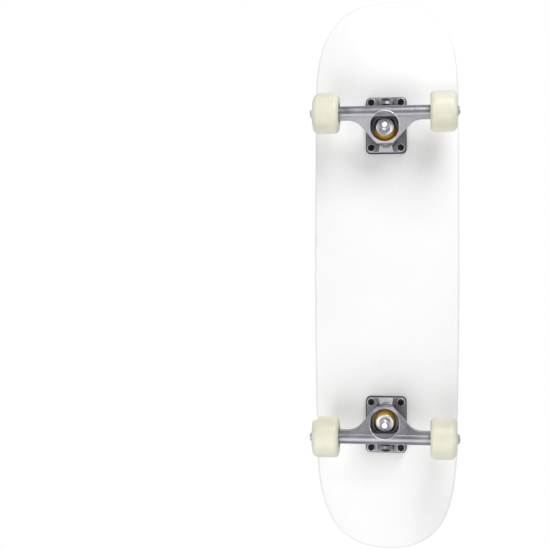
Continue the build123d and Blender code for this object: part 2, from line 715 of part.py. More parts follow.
def ball_turns():
    """How far round the bearing each ball stands, in degrees."""
    return [360 * (index + 0.5) / BALL_COUNT for index in range(BALL_COUNT)]


def bearing_balls(plane):
    """The steel balls of both bearings."""
    ball = Pos(BALL_PITCH, 0, 0) * Sphere(BALL_RADIUS)
    return Compound(
        [
            plane * Pos(0, 0, middle) * Rot(0, 0, turn) * ball
            for middle in (-BEARING_CENTRE, BEARING_CENTRE)
            for turn in ball_turns()
        ]
    )


def ball_cages(plane):
    """The cages that space the balls out, one round pocket for each ball."""
    pocket = Pos(BALL_PITCH, 0, 0) * Rot(0, 90, 0) * Cylinder(POCKET_RADIUS, 2 * POCKET_RADIUS)
    cages = []
    for middle in (-BEARING_CENTRE, BEARING_CENTRE):
        cage = tube(Plane.XY, CAGE_INNER, CAGE_OUTER, -CAGE_WIDTH / 2, CAGE_WIDTH / 2)
        cage -= [Rot(0, 0, turn) * pocket for turn in ball_turns()]
        cages.append(plane * Pos(0, 0, middle) * cage)
    return Compound(cages)


# ---------------------------------------------------------------- assembly

def make_truck(end):
    """Every part of one truck, without its wheels."""
    parts = {
        "riser_pad": riser_pad(),
        "baseplate": baseplate(),
        "pivot_cup": pivot_cup(),
        "kingpin": kingpin(),
        "bottom_washer": cupped_washer(LOWER_WASHER_RADIUS, SEAT_TOP),
        "bottom_bushing": lower_bushing(),
        "top_bushing": upper_bushing(),
        "top_washer": cupped_washer(UPPER_WASHER_RADIUS, WEB_HALF + UPPER_BUSHING_HEIGHT),
        "kingpin_nut": kingpin_nut(),
        "hanger": hanger(),
        "axle": axle(),
        "speed_washers": both_sides(speed_washers),
        "axle_nuts": both_sides(axle_nut),
        "bearing_spacers": both_sides(bearing_spacer),
        "bearing_inner_races": both_sides(inner_races),
    }
    return {f"{end}_{name}": put(part, end) for name, part in parts.items()}


def make_wheel(end, side):
    """One wheel with what turns in it, placed on its axle."""
    axle_x = ENDS[end] * (TRUCK_X + AXLE_OFFSET)
    middle = (axle_x, SIDES[side] * WHEEL_OFFSET, BASE_PLANE - AXLE_HEIGHT)
    plane = Plane(middle, x_dir=(1, 0, 0), z_dir=(0, SIDES[side], 0))
    parts = {
        "wheel": wheel_tyre(plane),
        "outer_races": outer_races(plane),
        "bearing_shields": bearing_shields(plane),
        "bearing_balls": bearing_balls(plane),
        "ball_cages": ball_cages(plane),
    }
    return {f"{end}_{side}_{name}": part for name, part in parts.items()}


def make_skateboard():
    """Every node of the skateboard by name."""
    nodes = make_deck()
    nodes.update(make_hardware())
    for end in ENDS:
        nodes.update(make_truck(end))
        for side in SIDES:
            nodes.update(make_wheel(end, side))
    return nodes


os.makedirs("parts", exist_ok=True)
for node_name, node_shape in make_skateboard().items():
    export_step(node_shape, f"parts/{node_name}.step")
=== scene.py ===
import json
import math

import bmesh
import bpy
from mathutils import Matrix, Vector
from mathutils.bvhtree import BVHTree


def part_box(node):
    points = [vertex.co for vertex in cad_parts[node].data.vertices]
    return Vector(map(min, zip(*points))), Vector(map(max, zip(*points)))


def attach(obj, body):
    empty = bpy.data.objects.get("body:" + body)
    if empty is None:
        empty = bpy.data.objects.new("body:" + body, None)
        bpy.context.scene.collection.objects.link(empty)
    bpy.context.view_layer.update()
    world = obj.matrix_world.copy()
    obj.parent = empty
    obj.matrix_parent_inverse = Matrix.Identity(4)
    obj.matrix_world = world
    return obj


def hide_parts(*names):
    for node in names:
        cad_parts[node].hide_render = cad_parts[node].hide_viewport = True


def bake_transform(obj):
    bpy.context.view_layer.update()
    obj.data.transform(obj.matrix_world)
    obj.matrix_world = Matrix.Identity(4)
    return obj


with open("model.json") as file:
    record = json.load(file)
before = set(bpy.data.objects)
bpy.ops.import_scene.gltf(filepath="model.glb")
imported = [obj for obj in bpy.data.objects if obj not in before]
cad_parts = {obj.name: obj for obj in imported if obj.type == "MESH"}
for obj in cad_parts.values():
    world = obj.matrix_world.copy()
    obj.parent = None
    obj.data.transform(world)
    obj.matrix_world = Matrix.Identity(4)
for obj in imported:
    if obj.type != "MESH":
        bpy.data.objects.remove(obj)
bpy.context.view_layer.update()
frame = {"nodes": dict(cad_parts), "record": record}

ENDS = ("front", "rear")
DECK_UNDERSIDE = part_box("face_veneer_bottom")[0][2]
MM = 0.001

# Standard sizes of the hardware, in metres
BOLT_ROWS = 63.5 * MM
BOLT_COLUMNS = 41.3 * MM
BOLT_RADIUS = 2.45 * MM
BOLT_COLLAR = 3.6 * MM
BOLT_PITCH = 0.5 * MM
KINGPIN_RADIUS = 4.75 * MM
KINGPIN_COLLAR = 6.5 * MM
AXLE_RADIUS = 3.97 * MM
AXLE_COLLAR = 5.9 * MM
FINE_PITCH = 0.7 * MM
TIP_CHAMFER = 0.3 * MM

# Shapes of the detail pieces
SMOOTH_ANGLE = math.radians(40)
TURN_STEPS = 72
THREAD_STEPS = 48
THREAD_WIDTH = 0.8
THREAD_RISE = 0.12 * MM
THREAD_CREST = 0.2
THREAD_TAPER = 6
END_BAND = 0.3 * MM
MOULD_LINE = 0.25 * MM
ROUND_STEPS = 5
ROUND_SHARE = 0.4
BUSHING_ROUND = 0.7 * MM
BUSHING_RUN = 1.5 * MM
CONE_SHOULDER = 0.12
LIP_WIDTH = 1.3 * MM
LIP_HEIGHT = 0.45 * MM
BOSS_RADIUS = 5.6 * MM
RIM_RADIUS = 0.5 * MM
RIM_SIDES = 10

# The bead round the bowl, in a bright finish that paints a highlight: an arc about a point that lies
# inboard of the axle
SCOOP_RADIUS = 20.6 * MM
SCOOP_CENTRE = 19.4 * MM
BEAD_RADIUS = 0.4 * MM
BEAD_ARC = math.radians(112)
BEAD_STEPS = 72
BEAD_SIDES = 8
BEAD_TAPER = 0.3

# A lock ring's height as a share of the thread that stands out, and its section as shares
# of that height
COLLAR_SHARE = 0.8
COLLAR_SHOULDER = 0.35
COLLAR_CRIMP = 0.8
COLLAR_LIP = 0.75
COLLAR_MOUTH = 0.55
COLLAR_ROUND = 0.3
NYLON_ROOT = 0.5
NYLON_TOP = 0.8
NYLON_TAPER = 0.7
NYLON_ROUND = 0.2
NYLON_GAP = 0.05 * MM
RING_ROUND_STEPS = 3


# ---------------------------------------------------------------- camera, floor and light

# The camera looks up at the underside from a little to the board's left, and at a point
# beside the board, so that the board stands right of the middle
CAMERA_DISTANCE = 1.6
CAMERA_ASIDE = 0.067
LOOK_ASIDE = -0.158
LENS = 74.2
SENSOR = 36.0
WORLD_LIGHT = 0.5
BACKDROP = 1.0
FLOOR_HALF = 15.0
FLOOR_SHADE = 0.8
FLOOR_ROUGHNESS = 0.8
FLOOR_GLOW = 0.3

# Each softbox as its place and its width in metres, and its power in watts
SOFTBOXES = {
    "key_below": ((1.25, 0.5, -0.95), 0.8, 14.5),
    "fill_below": ((-1.0, -0.4, -1.1), 1.3, 12),
    "key_above": ((0.9, -1.0, 1.9), 1.2, 17),
    "fill_above": ((-1.1, 1.2, 1.7), 1.6, 8),
}


def make_camera():
    """A camera under the board, with the nose at the top of the picture."""
    data = bpy.data.cameras.new("camera")
    data.lens = LENS
    data.sensor_width = SENSOR
    data.clip_end = 20
    camera = bpy.data.objects.new("camera", data)
    bpy.context.collection.objects.link(camera)
    place = Vector((0, CAMERA_ASIDE, DECK_UNDERSIDE - CAMERA_DISTANCE))
    forward = (Vector((0, LOOK_ASIDE, DECK_UNDERSIDE)) - place).normalized()
    up = Vector((1, 0, 0))
    right = forward.cross(up)
    turn = Matrix((right, up, -forward)).transposed()
    camera.matrix_world = Matrix.Translation(place) @ turn.to_4x4()
    bpy.context.scene.camera = camera


def area_light(name, place, target, size, power):
    """A square softbox that shines from a place towards a target."""
    data = bpy.data.lights.new(name, "AREA")
    data.shape = "SQUARE"
    data.size = size
    data.energy = power
    lamp = bpy.data.objects.new(name, data)
    lamp.location = place
    lamp.rotation_euler = (Vector(target) - Vector(place)).to_track_quat("-Z", "Y").to_euler()
    bpy.context.collection.objects.link(lamp)


def make_light():
    """Soft studio light from above and below, stronger from the nose's side."""
    world = bpy.data.worlds.new("studio")
    world.use_nodes = True
    nodes = world.node_tree.nodes
    links = world.node_tree.links
    lighting = nodes["Background"]
    lighting.inputs["Color"].default_value = (1, 1, 1, 1)
    lighting.inputs["Strength"].default_value = WORLD_LIGHT
    backdrop = nodes.new("ShaderNodeBackground")
    backdrop.inputs["Color"].default_value = (1, 1, 1, 1)
    backdrop.inputs["Strength"].default_value = BACKDROP
    seen = nodes.new("ShaderNodeLightPath")
    mix = nodes.new("ShaderNodeMixShader")
    links.new(seen.outputs["Is Camera Ray"], mix.inputs["Fac"])
    links.new(lighting.outputs["Background"], mix.inputs[1])
    links.new(backdrop.outputs["Background"], mix.inputs[2])
    links.new(mix.outputs["Shader"], nodes["World Output"].inputs["Surface"])
    bpy.context.scene.world = world
    bpy.context.scene.view_settings.view_transform = "Standard"
    for name, (place, size, power) in SOFTBOXES.items():
        area_light(name, place, (0, 0, DECK_UNDERSIDE), size, power)


def make_floor():
    """A pale floor that is seen from above only, so that it never hides the underside."""
    mesh = bpy.data.meshes.new("floor")
    half = FLOOR_HALF
    corners = [(-half, -half, 0), (half, -half, 0), (half, half, 0), (-half, half, 0)]
    mesh.from_pydata(corners, [], [(0, 1, 2, 3)])
    floor = bpy.data.objects.new("floor", mesh)
    bpy.context.collection.objects.link(floor)
    floor.visible_shadow = False
    floor.visible_diffuse = False
    floor.visible_glossy = False
    floor.visible_transmission = False
    material = bpy.data.materials.new("floor")
    material.use_nodes = True
    nodes = material.node_tree.nodes
    links = material.node_tree.links
    shader = nodes["Principled BSDF"]
    shader.inputs["Base Color"].default_value = (FLOOR_SHADE, FLOOR_SHADE, FLOOR_SHADE, 1)
    shader.inputs["Roughness"].default_value = FLOOR_ROUGHNESS
    shader.inputs["Emission Color"].default_value = (1, 1, 1, 1)
    shader.inputs["Emission Strength"].default_value = FLOOR_GLOW
    geometry = nodes.new("ShaderNodeNewGeometry")
    clear = nodes.new("ShaderNodeBsdfTransparent")
    mix = nodes.new("ShaderNodeMixShader")
    links.new(geometry.outputs["Backfacing"], mix.inputs["Fac"])
    links.new(shader.outputs["BSDF"], mix.inputs[1])
    links.new(clear.outputs["BSDF"], mix.inputs[2])
    links.new(mix.outputs["Shader"], nodes["Material Output"].inputs["Surface"])
    mesh.materials.append(material)


# ---------------------------------------------------------------- material helpers

# The middle band of a cloudy pattern, where most of its values lie
CLOUD_LOW = 0.3
CLOUD_HIGH = 0.7


class Paint:
    """One procedural material, built up node by node around its Principled shader."""

    def __init__(self, name, roughness, metallic=0.0, **sockets):
        self.material = bpy.data.materials.new(name)
        self.material.use_nodes = True
        self.nodes = self.material.node_tree.nodes
        self.links = self.material.node_tree.links
        self.shader = self.nodes["Principled BSDF"]
        self.shader.inputs["Roughness"].default_value = roughness
        self.shader.inputs["Metallic"].default_value = metallic
        for socket, value in sockets.items():
            self.shader.inputs[socket.replace("_", " ")].default_value = value
        self.place = self.nodes.new("ShaderNodeTexCoord")

    def link(self, output, socket):
        """Joins one node's output to another node's socket."""
        self.links.new(output, socket)

    def stretched(self, scale):
        """The piece's own coordinates, scaled along x, y and z."""
        mapping = self.nodes.new("ShaderNodeMapping")
        mapping.inputs["Scale"].default_value = scale
        self.link(self.place.outputs["Object"], mapping.inputs["Vector"])
        return mapping.outputs["Vector"]

    def noise(self, scale, detail=3.0, rough=0.55, distortion=0.0):
        """A cloudy pattern; scale is the patterns per metre along x, y and z."""
        node = self.nodes.new("ShaderNodeTexNoise")
        node.inputs["Scale"].default_value = 1.0
        node.inputs["Detail"].default_value = detail
        node.inputs["Roughness"].default_value = rough
        node.inputs["Distortion"].default_value = distortion
        along = scale if isinstance(scale, tuple) else (scale, scale, scale)
        self.link(self.stretched(along), node.inputs["Vector"])
        return node.outputs["Fac"]

    def cells(self, scale):
        """A grainy cell pattern; scale is the cells per metre."""
        node = self.nodes.new("ShaderNodeTexVoronoi")
        node.inputs["Scale"].default_value = scale
        self.link(self.place.outputs["Object"], node.inputs["Vector"])
        return node.outputs["Distance"]

    def ramp(self, value, stops):
        """Turns a value into a colour or a grey by (position, colour) stops."""
        node = self.nodes.new("ShaderNodeValToRGB")
        elements = node.color_ramp.elements
        while len(elements) < len(stops):
            elements.new(0.5)
        for element, (position, colour) in zip(elements, stops):
            element.position = position
            shade = colour if isinstance(colour, tuple) else (colour, colour, colour)
            element.color = (*shade, 1)
        self.link(value, node.inputs["Fac"])
        return node.outputs["Color"]

    def mix(self, factor, first, second, blend="MIX"):
        """Mixes two colours, each a node output or a plain colour."""
        node = self.nodes.new("ShaderNodeMix")
        node.data_type = "RGBA"
        node.blend_type = blend
        # A mix node keeps its factor and its two colours in these sockets
        sockets = (node.inputs[0], node.inputs[6], node.inputs[7])
        for source, socket in zip((factor, first, second), sockets):
            if isinstance(source, bpy.types.NodeSocket):
                self.link(source, socket)
            elif isinstance(source, tuple):
                socket.default_value = (*source, 1)
            else:
                socket.default_value = source
        return node.outputs[2]

    def maths(self, operation, first, second):
        """One sum on values, each a node output or a number."""
        node = self.nodes.new("ShaderNodeMath")
        node.operation = operation
        for source, socket in zip((first, second), node.inputs):
            if isinstance(source, bpy.types.NodeSocket):
                self.link(source, socket)
            else:
                socket.default_value = source
        return node.outputs[0]

    def between(self, value, low, high, start=0.0, end=1.0):
        """Maps a value from one range to another, clamped."""
        node = self.nodes.new("ShaderNodeMapRange")
        numbers = (low, high, start, end)
        for number, socket in zip(numbers, list(node.inputs)[1:5]):
            socket.default_value = number
        self.link(value, node.inputs["Value"])
        return node.outputs["Result"]

    def colour(self, output):
        """Gives the surface its colour."""
        self.link(output, self.shader.inputs["Base Color"])

    def roughness(self, value, low, high):
        """Varies the surface's roughness between two values by a cloudy pattern."""
        spread = self.between(value, CLOUD_LOW, CLOUD_HIGH, low, high)
        self.link(spread, self.shader.inputs["Roughness"])

    def bump(self, height, distance, strength):
        """Raises the surface by a pattern; distance is in metres. Bumps add up."""
        node = self.nodes.new("ShaderNodeBump")
        node.inputs["Strength"].default_value = strength
        node.inputs["Distance"].default_value = distance
        self.link(height, node.inputs["Height"])
        socket = self.shader.inputs["Normal"]
        if socket.links:
            self.link(socket.links[0].from_socket, node.inputs["Normal"])
        self.link(node.outputs["Normal"], socket)


# ---------------------------------------------------------------- materials

def wood_grain(paint):
    """Long streaks of grain that run the length of the board."""
    streaks = paint.noise((14, 900, 900), detail=5, rough=0.65, distortion=0.4)
    fibres = paint.noise((60, 4200, 4200), detail=2)
    return paint.maths("ADD", paint.maths("MULTIPLY", streaks, 0.7), paint.maths("MULTIPLY", fibres, 0.3))


def maple(name, light, dark, pores):
    """Sealed veneer: pale wood with darker streaks and fine pores."""
    paint = Paint(name, 0.5)
    grain = wood_grain(paint)
    streaked = paint.ramp(grain, [(0.32, dark), (0.5, light), (0.72, tuple(c * 1.08 for c in light))])
    specks = paint.between(paint.noise((150, 2600, 2600), detail=1), 0.62, 0.72)
    paint.colour(paint.mix(specks, streaked, pores))
    paint.roughness(grain, 0.42, 0.6)
    paint.bump(grain, 0.0001, 0.5)
    return paint.material


def painted_underside():
    """White gloss paint over the bottom veneer, with bare wood left on its edge."""
    paint = Paint("painted_underside", 0.3, Coat_Weight=0.35, Coat_Roughness=0.12)
    grain = wood_grain(paint)
    cloud = paint.noise(9, detail=4)
    white = paint.ramp(cloud, [(0.3, (0.91, 0.912, 0.915)), (0.7, (0.94, 0.94, 0.94))])
    scuffs = paint.between(paint.noise((40, 260, 260), detail=6, rough=0.7), 0.66, 0.8, 0, 0.35)
    worn = paint.mix(scuffs, white, (0.82, 0.82, 0.81))
    bare = paint.ramp(grain, [(0.3, (0.46, 0.3, 0.17)), (0.65, (0.66, 0.48, 0.3))])
    normal = paint.nodes.new("ShaderNodeSeparateXYZ")
    paint.link(paint.place.outputs["Normal"], normal.inputs["Vector"])
    edge = paint.between(normal.outputs["Z"], -0.42, -0.3)
    paint.colour(paint.mix(edge, worn, bare))
    paint.roughness(cloud, 0.24, 0.36)
    paint.bump(grain, 0.00006, 0.35)
    paint.bump(paint.noise(420, detail=2), 0.00004, 0.3)
    return paint.material


def grip_tape():
    """Black mineral grit, with light specks painted into its colour here and there as glints."""
    paint = Paint("grip_tape", 0.85)
    grains = paint.cells(2400)
    coarse = paint.noise(1500, detail=2)
    patches = paint.noise(25, detail=4)
    black = paint.ramp(grains, [(0.0, (0.022, 0.022, 0.023)), (0.6, (0.004, 0.004, 0.005))])
    dusty = paint.mix(paint.between(patches, 0.45, 0.8, 0, 0.25), black, (0.03, 0.03, 0.032))
    clumps = paint.between(paint.noise(650, detail=3, rough=0.8), 0.35, 0.65, 0.3, 1.7)
    mottled = paint.mix(1.0, dusty, clumps, "MULTIPLY")
    # painted highlight: light specks in the colour stand in for grains glinting in the light
    painted_glints = paint.between(paint.noise(1900, detail=0), 0.70, 0.76, 0, 0.8)
    paint.colour(paint.mix(painted_glints, mottled, (0.4, 0.4, 0.42)))
    paint.roughness(coarse, 0.6, 0.95)
    paint.bump(grains, 0.0005, 0.9)
    paint.bump(coarse, 0.0004, 0.7)
    return paint.material


def cast_aluminium():
    """Tumbled raw casting: satin, faintly pebbled, with cooler and warmer patches."""
    paint = Paint("cast_aluminium", 0.42, 0.85)
    skin = paint.noise(900, detail=4, rough=0.6)
    patches = paint.noise(45, detail=5)
    cool = (0.235, 0.235, 0.26)
    plain = (0.31, 0.305, 0.335)
    warm = (0.385, 0.375, 0.40)
    tone = paint.ramp(patches, [(0.3, cool), (0.52, plain), (0.75, warm)])
    # painted shade: small darker dots in the colour stand in for the shade inside tiny casting pits
    pit_shade = paint.between(paint.cells(700), 0.0, 0.16, 1, 0)
    paint.colour(paint.mix(paint.maths("MULTIPLY", pit_shade, 0.5), tone, (0.2, 0.2, 0.22)))
    paint.roughness(patches, 0.26, 0.4)
    paint.bump(skin, 0.00022, 0.6)
    paint.bump(patches, 0.0006, 0.35)
    return paint.material


def painted_highlight():
    """Painted highlight: a bright metal for the thin beads on the casting's edges, standing in for the
    light that those edges catch.
    """
    paint = Paint("painted_highlight", 0.3, 0.6)
    cloud = paint.noise(500, detail=4)
    paint.colour(paint.ramp(cloud, [(0.3, (0.76, 0.76, 0.79)), (0.7, (0.9, 0.9, 0.92))]))
    paint.roughness(cloud, 0.26, 0.4)
    paint.bump(paint.noise(2200, detail=2), 0.00003, 0.4)
    return paint.material


def plated_steel(name, tone, low, high):
    """Bright plated or ground metal with faint tool marks and handling marks."""
    paint = Paint(name, 0.25, 1.0)
    cloud = paint.noise(160, detail=5)
    marks = paint.noise(2500, detail=2)
    dark = tuple(c * 0.8 for c in tone)
    paint.colour(paint.ramp(cloud, [(0.3, dark), (0.65, tone)]))
    paint.roughness(cloud, low, high)
    paint.bump(marks, 0.00002, 0.4)
    paint.bump(cloud, 0.00006, 0.3)
    return paint.material


def black_steel():
    """Black-oxide hardware, rubbed bright in small spots."""
    paint = Paint("black_steel", 0.4, 0.1, Specular_IOR_Level=0.2)
    cloud = paint.noise(700, detail=4)
    rubbed = paint.between(cloud, 0.62, 0.75, 0, 0.5)
    paint.colour(paint.mix(rubbed, (0.006, 0.006, 0.007), (0.12, 0.12, 0.13)))
    paint.roughness(cloud, 0.3, 0.55)
    paint.bump(paint.noise(3000), 0.00005, 0.4)
    return paint.material


def black_plastic(name):
    """Moulded black plastic with a fine spark texture."""
    paint = Paint(name, 0.55)
    spark = paint.cells(3200)
    cloud = paint.noise(120, detail=4)
    paint.colour(paint.ramp(cloud, [(0.3, (0.010, 0.010, 0.011)), (0.7, (0.028, 0.028, 0.03))]))
    paint.roughness(cloud, 0.45, 0.65)
    paint.bump(spark, 0.00012, 0.5)
    return paint.material


def bushing_urethane():
    """Amber cast urethane, slightly see-through, with swirls of darker resin."""
    paint = Paint("bushing_urethane", 0.3, Subsurface_Weight=0.25, Subsurface_Scale=0.004)
    paint.shader.inputs["Subsurface Radius"].default_value = (1.0, 0.5, 0.1)
    paint.shader.inputs["Coat Weight"].default_value = 0.3
    swirl = paint.noise(110, detail=5, distortion=1.5)
    dark = (0.5, 0.26, 0.02)
    amber = (0.76, 0.46, 0.04)
    pale = (0.84, 0.58, 0.09)
    paint.colour(paint.ramp(swirl, [(0.3, dark), (0.55, amber), (0.75, pale)]))
    paint.roughness(swirl, 0.24, 0.38)
    paint.bump(paint.noise(1400, detail=2), 0.00008, 0.4)
    return paint.material


def wheel_urethane():
    """Cream poured urethane: waxy, with a fine moulded skin and faint rolling scuffs."""
    paint = Paint("wheel_urethane", 0.36, Subsurface_Weight=0.15, Subsurface_Scale=0.003)
    paint.shader.inputs["Subsurface Radius"].default_value = (1.0, 0.85, 0.45)
    cloud = paint.noise(60, detail=4)
    cream = paint.ramp(cloud, [(0.3, (0.74, 0.72, 0.58)), (0.7, (0.80, 0.785, 0.665))])
    scuffs = paint.between(paint.noise((240, 900, 240), detail=6, rough=0.7), 0.63, 0.8, 0, 0.3)
    paint.colour(paint.mix(scuffs, cream, (0.65, 0.62, 0.48)))
    paint.roughness(cloud, 0.3, 0.44)
    paint.bump(paint.noise(1800, detail=3), 0.00008, 0.45)
    paint.bump(scuffs, 0.0001, 0.3)
    return paint.material


def lock_nylon():
    """Dark nylon of the lock rings, slightly waxy, cut by the thread."""
    paint = Paint("lock_nylon", 0.45, Subsurface_Weight=0.1, Subsurface_Scale=0.001)
    cloud = paint.noise(900, detail=4)
    paint.colour(paint.ramp(cloud, [(0.3, (0.03, 0.03, 0.034)), (0.7, (0.07, 0.07, 0.078))]))
    paint.roughness(cloud, 0.38, 0.55)
    paint.bump(paint.noise(4200, detail=2), 0.00003, 0.5)
    return paint.material


def make_materials():
    """Every material by the record's slot name."""
    return {
        "grip_tape": grip_tape(),
        "painted_veneer": painted_underside(),
        "maple": maple("maple", (0.70, 0.53, 0.34), (0.52, 0.36, 0.2), (0.36, 0.24, 0.13)),
        "tan_maple": maple("tan_maple", (0.5, 0.33, 0.18), (0.34, 0.2, 0.1), (0.2, 0.12, 0.06)),
        "black_steel": black_steel(),
        "riser_plastic": black_plastic("riser_plastic"),
        "cast_aluminium": cast_aluminium(),
        "cup_plastic": black_plastic("cup_plastic"),
        "zinc_steel": plated_steel("zinc_steel", (0.68, 0.69, 0.71), 0.34, 0.5),
        "bushing_urethane": bushing_urethane(),
        "bearing_steel": plated_steel("bearing_steel", (0.74, 0.74, 0.76), 0.12, 0.26),
        "shield_steel": plated_steel("shield_steel", (0.66, 0.67, 0.69), 0.2, 0.38),
        "cage_brass": plated_steel("cage_brass", (0.72, 0.55, 0.25), 0.25, 0.4),
        "wheel_urethane": wheel_urethane(),
        "lock_nylon": lock_nylon(),
        # painted highlight: the bright finish of the bead and rims on the casting
        "painted_highlight": painted_highlight(),
    }


def dress_nodes(materials):
    """Gives every CAD node the finish of its material slot."""
    slots = {part["node"]: part["material_slot"] for part in frame["record"]["subparts"]}
    for name, node in frame["nodes"].items():
        node.data.materials.clear()
        node.data.materials.append(materials[slots[name]])


# ---------------------------------------------------------------- lines measured from the frame

class Line:
    """A straight line through the object, with distances along it and radii about it."""

    def __init__(self, start, end):
        self.start = Vector(start)
        self.along = (Vector(end) - self.start).normalized()
        self.across = self.along.orthogonal().normalized()
        self.third = self.along.cross(self.across)

    def point(self, distance, radius=0.0, angle=0.0):
        """A point at a distance along the line, out from it by a radius."""
        out = self.across * math.cos(angle) + self.third * math.sin(angle)
        return self.start + self.along * distance + out * radius

    def measure(self, node):
        """Every corner of a CAD node as (distance along the line, radius about it)."""
        places = []
        for vertex in frame["nodes"][node].data.vertices:
            offset = vertex.co - self.start
            distance = offset.dot(self.along)
            places.append((distance, (offset - self.along * distance).length))
        return places

    def reach(self, node):
        """The nearest and farthest distance of a CAD node along the line."""
        distances = [distance for distance, _ in self.measure(node)]
        return min(distances), max(distances)


def middle(node):
    """The middle of a CAD node's box."""
    low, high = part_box(node)
    return (low + high) / 2


def kingpin_line(end):
    """The kingpin's centre line, from the washer on the deck's side outwards."""
    return Line(middle(f"{end}_bottom_washer"), middle(f"{end}_top_washer"))


def axle_line(end, side):
    """One half of an axle, from the middle of the truck out past a wheel."""
    return Line(middle(f"{end}_axle"), middle(f"{end}_{side}_wheel"))


def bolt_lines():
    """Every mounting bolt's line, from the middle of the bolt down towards its tip."""
    low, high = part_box("mounting_bolts")
    height = (low.z + high.z) / 2
    lines = []
    for end in ENDS:
        base_low, base_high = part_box(f"{end}_baseplate")
        centre = (base_low + base_high) / 2
        for x in (-BOLT_ROWS / 2, BOLT_ROWS / 2):
            for y in (-BOLT_COLUMNS / 2, BOLT_COLUMNS / 2):
                place = Vector((centre.x + x, centre.y + y, height))
                lines.append(Line(place, place - Vector((0, 0, 1))))
    return lines


# ---------------------------------------------------------------- mesh helpers

def new_piece(name, vertices, faces, material):
    """A mesh piece with its material, smooth except at its sharp edges."""
    mesh = bpy.data.meshes.new(name)
    shape = bmesh.new()
    corners = [shape.verts.new(vertex) for vertex in vertices]
    for face in faces:
        shape.faces.new([corners[index] for index in face])
    bmesh.ops.recalc_face_normals(shape, faces=shape.faces)
    for edge in shape.edges:
        edge.smooth = edge.calc_face_angle(0) < SMOOTH_ANGLE
    for face in shape.faces:
        face.smooth = True
    shape.to_mesh(mesh)
    shape.free()
    piece = bpy.data.objects.new(name, mesh)
    bpy.context.collection.objects.link(piece)
    mesh.materials.append(material)
    return piece


def turned(name, line, profile, material):
    """A closed profile of (distance along, radius) points, turned about a line."""
    vertices = [
        line.point(distance, radius, 2 * math.pi * step / TURN_STEPS)
        for step in range(TURN_STEPS)
        for distance, radius in profile
    ]
    count = len(profile)
    faces = []
    for step in range(TURN_STEPS):
        after = (step + 1) % TURN_STEPS
        for index in range(count):
            other = (index + 1) % count
            faces.append(
                (step * count + index, step * count + other, after * count + other, after * count + index)
            )
    return new_piece(name, vertices, faces, material)


def thread(name, line, start, end, radius, pitch, material):
    """The ridge of a screw thread that winds along a line, tapering out at both ends."""
    turns = (end - start) / pitch - THREAD_WIDTH
    steps = int(THREAD_STEPS * turns)
    half = pitch * THREAD_WIDTH / 2
    crest = half * THREAD_CREST
    vertices = []
    for step in range(steps + 1):
        share = step / steps
        rise = THREAD_RISE * min(1.0, THREAD_TAPER * share, THREAD_TAPER * (1 - share))
        angle = 2 * math.pi * turns * share
        centre = start + pitch * (THREAD_WIDTH / 2 + turns * share)
        ridge = ((-half, -THREAD_RISE), (-crest, rise), (crest, rise), (half, -THREAD_RISE))
        for distance, height in ridge:
            vertices.append(line.point(centre + distance, radius + height, angle))
    faces = [(0, 1, 2, 3), tuple(4 * steps + index for index in (3, 2, 1, 0))]
    for step in range(steps):
        for index in range(4):
            other = (index + 1) % 4
            low = 4 * step
            faces.append((low + index, low + other, low + 4 + other, low + 4 + index))
    return new_piece(name, vertices, faces, material)


# ---------------------------------------------------------------- pieces

def rounded(corners, radius, steps=ROUND_STEPS):
    """A closed profile with each of its corners rounded by a short curve."""
    points = []
    for index, corner in enumerate(corners):
        here = Vector(corner)
        before = Vector(corners[index - 1])
        after = Vector(corners[(index + 1) % len(corners)])
        shorter = min((before - here).length, (after - here).length)
        reach = min(radius, shorter * ROUND_SHARE)
        first = here + (before - here).normalized() * reach
        last = here + (after - here).normalized() * reach
        for step in range(steps + 1):
            share = step / steps
            points.append(
                first * (1 - share) ** 2 + here * 2 * share * (1 - share) + last * share ** 2
            )
    return [tuple(point) for point in points]


def subdivided(profile, longest):
    """The same closed profile with its long runs divided into shorter ones."""
    points = []
    for index, point in enumerate(profile):
        here = Vector(point)
        after = Vector(profile[(index + 1) % len(profile)])
        count = max(1, math.ceil((after - here).length / longest))
        for step in range(count):
            points.append(tuple(here.lerp(after, step / count)))
    return points


def bushing(end, name, material):
    """A soft bushing between the board and the hanger, turned about the kingpin in place of the CAD node.
    """
    node = f"{end}_{name}"
    line = kingpin_line(end)
    places = line.measure(node)
    near, far = line.reach(node)
    hole = min(radius for _, radius in places)
    widest = max(radius for _, radius in places)
    near_radius = max(radius for distance, radius in places if distance < near + END_BAND)
    far_radius = max(radius for distance, radius in places if distance > far - END_BAND)
    ring_high = (near + far) / 2 + MOULD_LINE
    ring_low = (near + far) / 2 - MOULD_LINE
    if name == "bottom_bushing":
        belly = widest - MOULD_LINE
        outer = [
            (near, near_radius),
            (ring_low, belly),
            (ring_low + MOULD_LINE / 2, widest),
            (ring_high - MOULD_LINE / 2, widest),
            (ring_high, belly),
            (far, far_radius),
        ]
    else:
        wide = near + (far - near) * CONE_SHOULDER
        outer = [(near, near_radius), (wide, widest), (far, far_radius)]
    corners = [(near, hole), *outer, (far, hole)]
    profile = subdivided(rounded(corners, BUSHING_ROUND), BUSHING_RUN)
    piece = turned(f"{node}_soft", line, profile, material)
    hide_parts(node)
    if name == "bottom_bushing":
        line.point(near)
        line.point(far)
        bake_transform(piece)
    else:
        line.point(near)
        line.point(far)
        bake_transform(piece)


